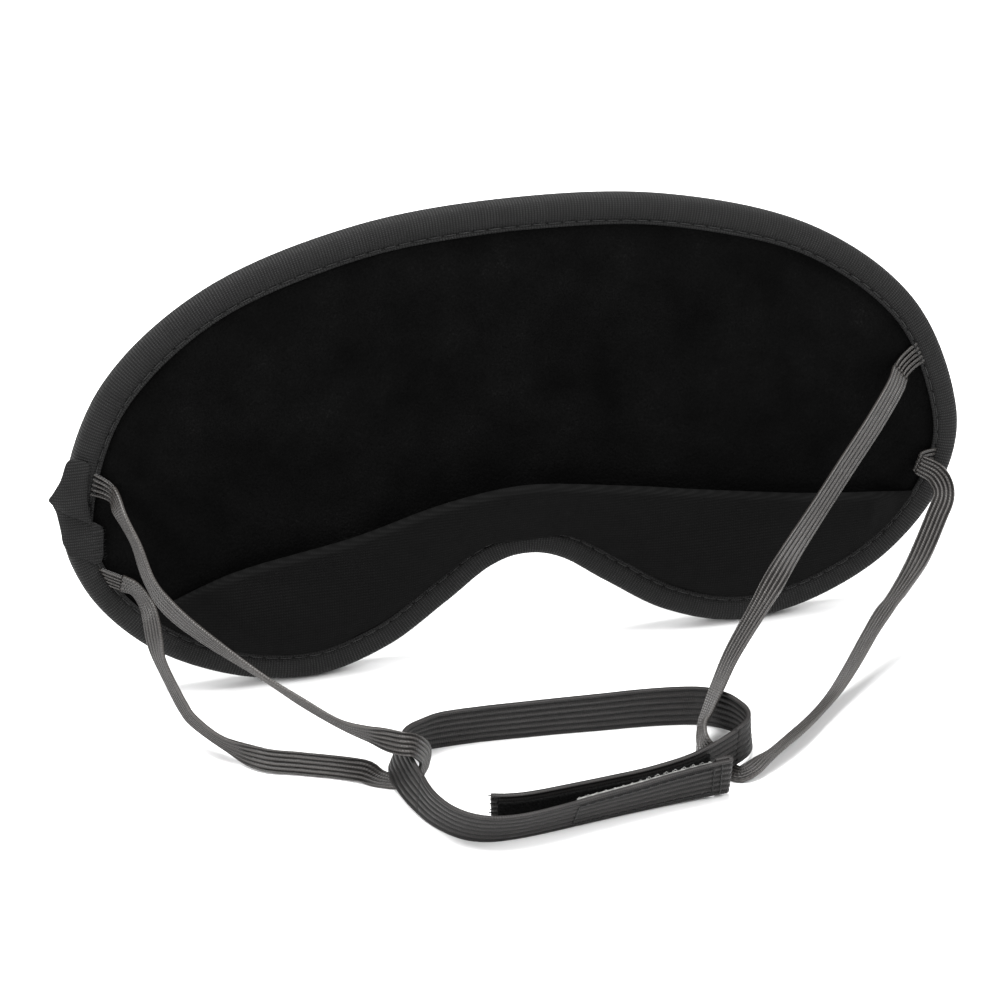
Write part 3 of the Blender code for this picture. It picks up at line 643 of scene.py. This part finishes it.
def flat_triangles(outline, spacing):
    """Points and triangles that fill an outline; the outline's points come first."""
    low, high = outline.min(axis=0), outline.max(axis=0)
    xs = np.arange(low[0], high[0], spacing)
    ys = np.arange(low[1], high[1], spacing * 0.87)
    grid = np.array([(x + spacing / 2 * (k % 2), y) for k, y in enumerate(ys) for x in xs])
    ahead = np.roll(outline, -1, axis=0)
    inside = np.zeros(len(grid), bool)
    for a, b in zip(outline, ahead):
        crossing = (a[1] > grid[:, 1]) != (b[1] > grid[:, 1])
        with np.errstate(divide="ignore", invalid="ignore"):
            x = (b[0] - a[0]) * (grid[:, 1] - a[1]) / (b[1] - a[1]) + a[0]
        inside ^= crossing & (grid[:, 0] < x)
    gap = np.min(np.linalg.norm(grid[:, None] - outline[None], axis=2), axis=1)
    points = np.vstack([outline, grid[inside & (gap > spacing * 0.6)]])
    count = len(outline)
    edges = [(k, (k + 1) % count) for k in range(count)]
    made = delaunay_2d_cdt([Vector(p) for p in points], edges, [], 1, 1e-9)
    return np.array([tuple(p) for p in made[0]]), [tuple(f) for f in made[2]], count


def two_sided(top, bottom, triangles, count):
    """A closed skin from a top and a bottom sheet that match; their first points are the rim."""
    size = len(top)
    faces = [tuple(f) for f in triangles] + [tuple(size + k for k in reversed(f)) for f in triangles]
    faces += [(k, (k + 1) % count, size + (k + 1) % count, size + k) for k in range(count)]
    verts = np.vstack([top, bottom])
    uvs = [(verts[k][0] / MM, verts[k][2] / MM) for face in faces for k in face]
    return verts, faces, uvs


PILLOW_PRESSURE = 4.0
PILLOW_FRAMES = 20
FRONT_SWELL = 1.3 * MM         # the most that the pad may swell towards the wearer
BACK_SWELL = 2.2 * MM          # and towards the back


def inflate(verts, faces, pinned, pressure, frames):
    """Where cloth pressure moves the points of a closed skin whose pinned points stay put."""
    mesh = bpy.data.meshes.new("pillow")
    mesh.from_pydata(verts.tolist(), [], faces)
    thing = bpy.data.objects.new("pillow", mesh)
    bpy.context.scene.collection.objects.link(thing)
    thing.vertex_groups.new(name="pin").add([int(k) for k in np.flatnonzero(pinned)], 1.0, "REPLACE")
    modifier = thing.modifiers.new("cloth", "CLOTH")
    modifier.settings.vertex_group_mass = "pin"
    modifier.settings.mass = 0.02
    modifier.settings.tension_stiffness = 12
    modifier.settings.compression_stiffness = 12
    modifier.settings.use_pressure = True
    modifier.settings.uniform_pressure_force = pressure
    modifier.settings.effector_weights.gravity = 0.0
    modifier.collision_settings.use_collision = False
    scene = bpy.context.scene
    for step in range(1, frames + 1):
        scene.frame_set(step)
    bake(thing)
    moved = np.array([v.co for v in thing.data.vertices])
    bpy.data.objects.remove(thing, do_unlink=True)
    scene.frame_set(1)
    return moved


def make_pad(cloths):
    """The four layers of the mask: one pillow is blown up, then cut into its sheets."""
    outline = inset(mask_edge(7), 1.0 * MM)
    points, triangles, count = flat_triangles(outline, 2.8 * MM)
    u, v = points[:, 0], points[:, 1]
    front = place(u, v, np.full(len(u), PAD_HALF))
    back = place(u, v, np.full(len(u), -PAD_HALF))
    rim = np.min(np.linalg.norm(points[:, None] - outline[None], axis=2), axis=1)
    verts, faces, _ = two_sided(front, back, triangles, count)
    held = np.tile(rim < 5.2 * MM, 2)
    moved = inflate(verts, faces, held, PILLOW_PRESSURE, PILLOW_FRAMES)
    lift = (moved - verts) @ FACE
    front = front + np.clip(lift[:len(u)], 0, FRONT_SWELL)[:, None] * FACE
    back = back + np.clip(lift[len(u):], -BACK_SWELL, 0)[:, None] * FACE
    creases = lining_creases(u, v) * ease(rim, 5.5 * MM, 14 * MM)
    front = front + creases[:, None] * FACE
    back = back + (0.22 * MM * np.sin(u / (17 * MM) + v / (31 * MM))
                   * ease(rim, 5.5 * MM, 16 * MM))[:, None] * FACE
    for name, node, slot, top, bottom in (
        ("face_velour", "face_lining", "lining", front, front - 0.6 * MM * FACE),
        ("light_film", "blackout_layer", "film", front - 0.8 * MM * FACE, front - 1.0 * MM * FACE),
        ("mask_padding", "foam_pad", "foam", front - 1.2 * MM * FACE, back + 0.8 * MM * FACE),
        ("outer_satin", "outer_cover", "satin", back + 0.6 * MM * FACE, back),
    ):
        thing = piece(name, [two_sided(top, bottom, triangles, count)], cloths[slot], 1)
        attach(thing, "mask")
        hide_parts(node)


def lining_creases(u, v):
    """Height of the soft slanting creases in the lining."""
    total = np.zeros(len(u))
    for across, along, angle, reach, width, height in (
        (22, 34, 62, 34, 3.2, 0.34), (36, 28, 70, 28, 2.6, -0.26), (8, 46, 40, 30, 4.0, 0.22),
        (-38, 30, 118, 30, 4.2, 0.20), (60, 22, 80, 22, 3.4, 0.22), (-64, 14, 98, 20, 3.8, -0.20),
    ):
        turn = math.radians(angle)
        p, q = u / MM - across, v / MM - along
        side = -p * math.sin(turn) + q * math.cos(turn)
        run = p * math.cos(turn) + q * math.sin(turn)
        total += height * MM * np.exp(-(side / width) ** 2 - (run / reach) ** 2)
    return total


# ---------------------------------------------------------------- the binding

TAPE_PROFILE = (
    (6.35, 2.62), (6.48, 2.95), (6.30, 3.25), (5.98, 3.34), (5.70, 3.14), (5.50, 2.86),
    (5.28, 3.12), (4.80, 3.40), (4.00, 3.56), (3.00, 3.60), (2.00, 3.50), (1.15, 3.18),
    (0.50, 2.58), (0.12, 1.75), (-0.02, 0.80), (-0.05, 0.0),
)


def make_binding(edge, cloths):
    """The ribbed tape folded over the edge, drawn in along its row of stitches."""
    normals = edge_normals(edge)
    lengths = distances(np.vstack([edge, edge[:1]]))
    along = lengths[:-1]
    pitch = lengths[-1] / round(lengths[-1] / STITCH_PITCH)
    pull = 0.5 + 0.5 * np.cos(math.tau * along / pitch)
    bend = np.linalg.norm(np.roll(edge, -9, axis=0) + np.roll(edge, 9, axis=0) - 2 * edge, axis=1)
    pucker = ease(bend, 0.5 * MM, 2.4 * MM)
    swell = 0.10 * MM * np.sin(along / (11 * MM)) + 0.06 * MM * np.sin(along / (4.1 * MM) + 1.0)
    front = np.array(TAPE_PROFILE) * MM
    half = []
    for d, w in front:
        lip = math.exp(-((d - 6.1 * MM) / (0.5 * MM)) ** 2)
        groove = math.exp(-((d - 5.5 * MM) / (0.35 * MM)) ** 2)
        body = math.exp(-((d - 3.0 * MM) / (1.8 * MM)) ** 2)
        height = (w + body * swell - groove * (0.16 * MM) * pull
                  + pucker * (body + lip) * 0.10 * MM * np.sin(math.tau * along / (2.3 * MM))
                  * (1 if w > 0.3 * MM else 0))
        reach = d + lip * 0.12 * MM * np.sin(along / (6.3 * MM))
        half.append((np.broadcast_to(reach, along.shape), height))
    inner = ((0.95 * MM, 2.55 * MM), (6.3 * MM, 2.55 * MM))
    ring = half + [(d, -w) for d, w in reversed(half[:-1])]
    ring += [(np.full(len(along), d), np.full(len(along), -w)) for d, w in reversed(inner)]
    ring += [(np.full(len(along), d), np.full(len(along), w)) for d, w in inner]
    columns = [place(edge[:, 0] + normals[:, 0] * d, edge[:, 1] + normals[:, 1] * d, w)
               for d, w in ring]
    thing = piece("binding_tape", [sweep(np.stack(columns, axis=1), closed=True)], cloths["tape"])
    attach(thing, "mask")
    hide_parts("edge_binding")
    line = inset(edge, STITCH_INSET)
    for name, node, side in (("front_stitches", "binding_needle_thread", 1),
                             ("back_stitches", "binding_bobbin_thread", -1)):
        height = np.full(len(line), side * 2.96 * MM)
        path = place(line[:, 0], line[:, 1], height)
        outward = np.tile(FACE * side, (len(path), 1))
        thing = piece(name, stitches(path, outward, pitch, 2.7 * MM, 0.17 * MM, closed=True),
                      cloths["thread"])
        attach(thing, "mask")
        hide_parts(node)


# The tape's two ends at the left tip, in millimetres: the upper one is folded to a point and
# lies over the lower one, whose inner corner is crumpled.
UPPER_END = (
    (-103.2, 23.2), (-105.1, 18.9), (-107.0, 15.6), (-107.9, 14.2), (-106.9, 12.8), (-104.4, 10.9),
    (-101.5, 9.3), (-99.2, 8.1), (-98.9, 9.6), (-99.5, 13.6), (-99.0, 18.2), (-98.4, 21.5),
    (-100.2, 23.0),
)
LOWER_END = (
    (-106.9, 13.0), (-106.4, 10.9), (-105.8, 6.8), (-105.5, 3.7), (-104.7, 2.2), (-104.3, 0.7),
    (-101.0, -0.3), (-98.3, -2.0), (-96.9, -0.6), (-96.6, 2.6), (-96.4, 6.3), (-97.5, 7.6),
    (-99.5, 8.8), (-103.0, 11.2),
)


def make_lap(cloths):
    """The overlap of the binding tape's two ends."""
    skins = [tape_end(UPPER_END, 0.85 * MM, 0.0), tape_end(LOWER_END, 0.1 * MM, 0.28 * MM)]
    for k in range(16):
        u, v = -96.6 * MM, (-1.0 + 0.5 * k) * MM
        run = (0.5 + 0.4 * math.sin(2.3 * k)) * MM
        line = place(np.array((u - 0.4 * MM, u + run * 0.4, u + run)),
                     np.array((v, v + 0.1 * MM, v + 0.3 * MM * math.sin(1.7 * k))),
                     np.array((3.7, 3.5, 3.1)) * MM)
        skins.append(sweep(tube(line, 0.06 * MM, 4)))
    thing = piece("tape_lap", skins, cloths["tape"], 1)
    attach(thing, "mask")
    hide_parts("binding_lap")


def tape_end(corners, lift, crumple):
    """One flat end of the tape, laid over the binding, its edge turned down at the outside."""
    outline = smooth(corners, 4, closed=True) * MM
    points, triangles, count = flat_triangles(outline, 0.7 * MM)
    u, v = points[:, 0], points[:, 1]
    rim = np.min(np.linalg.norm(points[:, None] - outline[None], axis=2), axis=1)
    top = EDGE_HALF + 0.45 * MM + lift + 0.25 * MM * ease(rim, 0, 1.2 * MM)
    top = top - 1.3 * MM * ease(-u, 104.2 * MM, 108 * MM) - 0.35 * MM * ease(v, 19 * MM, 23 * MM)
    folds = np.sin(v / (0.27 * MM) + 0.8 * np.sin(u / (0.9 * MM)))
    top = top + crumple * folds * ease(u, -101.0 * MM, -97.5 * MM)
    verts, faces, _ = two_sided(place(u, v, top), place(u, v, top - 0.4 * MM), triangles, count)
    uvs = [(verts[k][2] / MM, verts[k][0] / MM) for face in faces for k in face]
    return verts, faces, uvs


# ---------------------------------------------------------------- the nose flap

def make_flap(cloths):
    """The padded jersey flap: sewn down in both lobes, loose along its rolled upper edge."""
    loop = inset(mask_edge(20), 6.0 * MM)
    lower = loop[(loop[:, 1] < 4 * MM)]
    lower = lower[np.argsort(lower[:, 0])]
    top_curve = smooth(FLAP_TOP, 8) * MM
    us = np.linspace(-98, 98, 260) * MM
    low = np.interp(us, lower[:, 0], lower[:, 1])
    top = np.interp(us, top_curve[:, 0], top_curve[:, 1])
    keep = (top - low > 0.8 * MM) & (us > lower[0, 0]) & (us < lower[-1, 0])
    us, low, top = us[keep], low[keep], top[keep]
    notch = 1 - ease(np.abs(us), 9 * MM, 24 * MM)
    low = np.minimum(low, HINGE_V + 1.0 * MM) * notch + low * (1 - notch)
    ends = np.minimum(ease(us - us[0], 0, 20 * MM), ease(us[-1] - us, 0, 12 * MM))
    rings = [flap_ring(*column) for column in zip(us, low, top, notch, ends)]
    thing = piece("padded_flap", [sweep(rings)], cloths["jersey"], 1)
    start, end = place(0.0, HINGE_V - 3.0 * MM, HINGE_W), place(0.0, HINGE_V + 3.0 * MM, HINGE_W)
    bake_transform(thing)
    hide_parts("nose_flap", "nose_flap_foam", "flap_left_lobe", "flap_right_lobe",
                "flap_left_foam", "flap_right_foam")


def flap_ring(u, low, top, notch, ends):
    """One section of the flap: up its front, over the rolled edge, and down its back."""
    height = top - low
    t = np.concatenate([np.linspace(0, 0.22, 7), np.linspace(0.3, 1, 11)])
    v = low + (height - FLAP_HALF * 0.6) * t
    foot = 2.7 * MM + 1.5 * MM * notch
    rise = np.maximum(0, v - HINGE_V)
    full = HINGE_W + FLAP_HALF + np.tan(FLAP_TILT) * rise
    belly = np.sin(np.clip((v - low) / np.minimum(height, 15 * MM), 0, 1) * math.pi / 2) ** 0.62
    front = foot + (full - foot) * belly
    front += 0.28 * MM * np.sin(u / (9.5 * MM) + v / (6.0 * MM)) * ends * (1 - notch)
    front += flap_puckers(u, v)
    thick = 2 * FLAP_HALF * (0.25 + 0.75 * ends)
    front = 2.75 * MM + (front - 2.75 * MM) * (0.22 + 0.78 * ends)
    roll_v, roll_w, half = v[-1], front[-1] - thick / 2, thick / 2
    angle = np.linspace(75, -75, 7) * math.pi / 180
    over_v = roll_v + np.cos(angle) * half * 0.8
    over_w = roll_w + np.sin(angle) * half
    back_t = np.linspace(1, 0, 7)
    back_v = low + (height - FLAP_HALF * 0.6) * back_t
    behind = np.interp(back_v, v, front) - thick
    back = np.maximum(behind, 2.62 * MM + 0.95 * MM * notch)
    back = np.minimum(back, np.interp(back_v, v, front) - 0.12 * MM)
    return place(np.full(len(v) + len(over_v) + len(back_v), u),
                 np.concatenate([v, over_v, back_v]), np.concatenate([front, over_w, back]))


def flap_puckers(u, v):
    """Small dimples and creases in the flap's front."""
    total = np.zeros(len(v))
    for at, level, wide, tall, depth in (
        (6.5, -2.5, 1.1, 5.0, -0.75), (10.0, -3.0, 1.0, 4.0, -0.55), (2.0, -4.5, 1.2, 3.0, -0.35),
        (-84.5, -19.5, 1.0, 4.0, -0.6), (-81.5, -21.0, 1.1, 4.0, -0.5), (-15.0, -13.0, 1.2, 4.0, -0.4),
        (18.0, -12.0, 1.4, 4.0, -0.4), (-60.0, -25.0, 1.6, 5.0, -0.3), (62.0, -24.0, 1.6, 5.0, -0.3),
        (84.0, -14.0, 1.4, 4.0, -0.4), (-40.0, -24.0, 1.8, 5.0, -0.3), (38.0, -22.0, 1.8, 5.0, -0.3),
    ):
        total += depth * MM * np.exp(-((u / MM - at) / wide) ** 2 - ((v / MM - level) / tall) ** 2)
    return total


# ---------------------------------------------------------------- the head strap

def make_strap(cloths):
    """The wide elastic in three stretches that meet, with its hem, its patches and stitches."""
    steps = 5
    rows = wide_rows(steps)
    hook_rows = rows[:HOOK_SPLIT * steps + 1]
    main_rows = rows[HOOK_SPLIT * steps:LOOP_SPLIT * steps + 1]
    loop_rows = rows[LOOP_SPLIT * steps:]
    profile = ribbed(WIDE, WIDE_THICK, 6, 0.40, 6)
    thing = piece("wide_elastic_main", [band(main_rows, profile)], cloths["wide"])
    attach(thing, "strap")
    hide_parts("head_strap")
    make_hook_end(hook_rows, profile, cloths)
    make_loop_end(loop_rows, profile, cloths)


def folded_route(rows):
    """The hook end's route with its hem: in from the cut edge, round the fold, then outside."""
    turn = HEM_GAP / 2
    centres, across, face = band_frames(rows)
    inner = part_of(np.column_stack([centres + face * HEM_GAP, across]), turn, HEM_RUN)[::-1]
    outer = part_of(rows, turn, 0.0)
    first, last = inner[-1], outer[0]
    middle = (first[:3] + last[:3]) / 2
    ahead = unit(centres[0] - centres[1])
    spread = (first[:3] - last[:3]) / 2
    bend = [np.concatenate([middle + spread * math.cos(a) + ahead * turn * math.sin(a), last[3:]])
            for a in np.linspace(0, math.pi, 9)[1:-1]]
    return np.vstack([inner, bend, outer])


def hinge_blend(thing):
    """Bake a strap end's placement into its mesh."""
    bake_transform(thing)


def make_hook_end(rows, profile, cloths):
    thing = piece("wide_elastic_hook_end", [band(folded_route(rows), profile)], cloths["wide"])
    hinge_blend(thing)
    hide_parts("hook_end")
    patch = part_of(rows, *HOOK_PATCH_RUN)
    back = WIDE_THICK / 2 + 0.35 * MM
    skins = [band(patch, pillowed(PATCH_WIDTH, 0.5 * MM, 0.1), back)]
    skins += hooks(patch, back + 0.25 * MM)
    thing = piece("hook_tape_patch", skins, cloths["hook"])
    ride_end(thing, "hook_end", "hook_patch")
    thing = piece("hook_tape_stitches", frame_stitches(patch, -WIDE_THICK / 2 - 0.05 * MM),
                  cloths["thread"])
    ride_end(thing, "hook_end", "hook_patch_thread")
    centres, across, face = band_frames(part_of(rows, HEM_RUN * 0.7, HEM_RUN * 0.7 + 1.0 * MM))
    line = np.linspace(-1, 1, 24)[:, None] * across[0] * PATCH_WIDTH / 2
    path = centres[0] + line - face[0] * (WIDE_THICK / 2 + 0.05 * MM)
    thing = piece("hem_stitches", stitches(path, np.tile(-face[0], (24, 1)), 1.5 * MM, 1.2 * MM,
                                           0.16 * MM), cloths["thread"])
    ride_end(thing, "hook_end", "hem_thread")


def make_loop_end(rows, profile, cloths):
    skins = [band(rows, profile)] + frayed_end(rows)
    thing = piece("wide_elastic_loop_end", skins, cloths["wide"])
    hinge_blend(thing)
    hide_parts("loop_end")
    patch = part_of(rows, *LOOP_PATCH_RUN)
    pillow = pillowed(PILE_WIDTH, 0.95 * MM, 0.5, 12)
    thing = piece("loop_pile_patch", [band(patch, pillow, -WIDE_THICK / 2 - 0.45 * MM)],
                  cloths["pile"])
    ride_end(thing, "loop_end", "loop_patch")
    thing = piece("loop_pile_stitches", frame_stitches(patch, WIDE_THICK / 2 + 0.05 * MM),
                  cloths["thread"])
    ride_end(thing, "loop_end", "loop_patch_thread")


def ride_end(thing, body, node):
    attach(thing, body)
    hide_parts(node)


def frame_stitches(rows, level):
    """Stitches along the four sides of a patch, on the strap's other side."""
    centres, across, face = band_frames(rows)
    reach = PATCH_WIDTH / 2 - 0.8 * MM
    outward = face * np.sign(level)
    skins = []
    for side in (-1, 1):
        path = centres + across * reach * side + face * level
        skins += stitches(path, outward, 2.1 * MM, 1.7 * MM, 0.15 * MM)
    for k in (0, -1):
        path = centres[k] + np.linspace(-1, 1, 12)[:, None] * across[k] * reach + face[k] * level
        skins += stitches(path, np.tile(outward[k], (12, 1)), 1.8 * MM, 1.4 * MM, 0.15 * MM)
    return skins


def hooks(rows, level):
    """The hook patch's field of small bent hooks, pressed down where the loop patch covers them."""
    centres, across, face = band_frames(rows)
    lengths = distances(centres)
    skins = []
    shape = np.array(((0, 0), (0.05, 0.35), (0.22, 0.62), (0.45, 0.6), (0.52, 0.42))) * MM
    for row, at in enumerate(np.arange(0.6 * MM, lengths[-1] - 0.4 * MM, 1.05 * MM)):
        spot, side, out = (np.array([np.interp(at, lengths, a[:, n]) for n in range(3)])
                           for a in (centres, across, face))
        lengthwise = np.cross(side, out) * (1 if row % 2 else -1)
        height = 1 - 0.6 * ease(at, OPEN_HOOKS, OPEN_HOOKS + 4 * MM)
        for k in range(9):
            foot = spot + side * (k - 4 + 0.25 * (row % 2)) * 0.94 * MM + out * level
            line = foot + lengthwise * shape[:, :1] + out * shape[:, 1:] * height
            skins.append(sweep(tube(line, 0.09 * MM, 4)))
    return skins


def frayed_end(rows):
    """Loose threads at the cut end of the strap."""
    centres, across, face = band_frames(rows)
    ahead = unit(centres[-1] - centres[-2])
    skins = []
    for k in range(26):
        spread = (k / 25 - 0.5) * 2
        start = centres[-1] - ahead * 0.4 * MM + across[-1] * spread * WIDE / 2 * 0.97
        start = start + face[-1] * 0.32 * MM * math.sin(k * 2.4)
        run = (0.35 + 0.2 * math.sin(k * 5.1) + 0.25 * (k % 7 == 3)) * MM
        tip = start + ahead * (0.4 * MM + run) + across[-1] * 0.25 * MM * math.sin(k * 3.3)
        middle = (start + tip) / 2 + face[-1] * 0.12 * MM * math.cos(k * 1.7)
        skins.append(sweep(tube(np.array((start, middle, tip)), 0.07 * MM, 4)))
    return skins


# ---------------------------------------------------------------- stage

def make_stage():
    """A pale floor, white surroundings and soft lamps."""
    bm = bmesh.new()
    bmesh.ops.create_grid(bm, x_segments=2, y_segments=2, size=6.0)
    mesh = bpy.data.meshes.new("floor")
    bm.to_mesh(mesh)
    bm.free()
    floor = bpy.data.objects.new("floor", mesh)
    material = bpy.data.materials.new("floor")
    material.use_nodes = True
    shader = material.node_tree.nodes["Principled BSDF"]
    shader.inputs["Base Color"].default_value = (0.86, 0.86, 0.86, 1.0)
    shader.inputs["Roughness"].default_value = 0.9
    shader.inputs["Specular IOR Level"].default_value = 0.1
    mesh.materials.append(material)
    bpy.context.scene.collection.objects.link(floor)
    world = bpy.data.worlds.new("studio")
    world.use_nodes = True
    world.node_tree.nodes["Background"].inputs["Color"].default_value = (1.0, 1.0, 1.0, 1.0)
    world.node_tree.nodes["Background"].inputs["Strength"].default_value = 0.5
    bpy.context.scene.world = world
    for name, spot, size, power in (
        ("top_lamp", (-0.15, 0.05, 1.1), 0.55, 20.0), ("left_lamp", (-0.8, -0.6, 0.6), 0.5, 9.0),
        ("right_lamp", (0.9, -0.3, 0.7), 0.5, 9.0), ("back_lamp", (0.1, 0.9, 0.8), 0.6, 6.0),
    ):
        data = bpy.data.lights.new(name, "AREA")
        data.size = size
        data.energy = power
        lamp = bpy.data.objects.new(name, data)
        lamp.location = spot
        lamp.rotation_mode = "QUATERNION"
        lamp.rotation_quaternion = Vector(spot).to_track_quat("Z", "Y")
        bpy.context.scene.collection.objects.link(lamp)
    bpy.context.scene.view_settings.view_transform = "Standard"


# ---------------------------------------------------------------- the whole


def build():
    make_camera()
    cloths = {
        "narrow": elastic_cloth("narrow_elastic", NARROW_SHADES, 0.6, 0.40, 0.5),
        "wide": elastic_cloth("wide_elastic", WIDE_SHADES, 0.5, 0.55, 0.3),
        "tape": tape_cloth(), "thread": thread_cloth(), "lining": velour_cloth(),
        "jersey": jersey_cloth(), "satin": satin_cloth(), "foam": foam_cloth(),
        "film": film_cloth(), "hook": hook_cloth(), "pile": pile_cloth(),
    }
    routes = make_elastics(cloths)
    edge = mask_edge(28)
    make_tails(edge, routes, cloths)
    make_pad(cloths)
    make_binding(edge, cloths)
    make_lap(cloths)
    make_flap(cloths)
    make_strap(cloths)
    make_stage()


build()
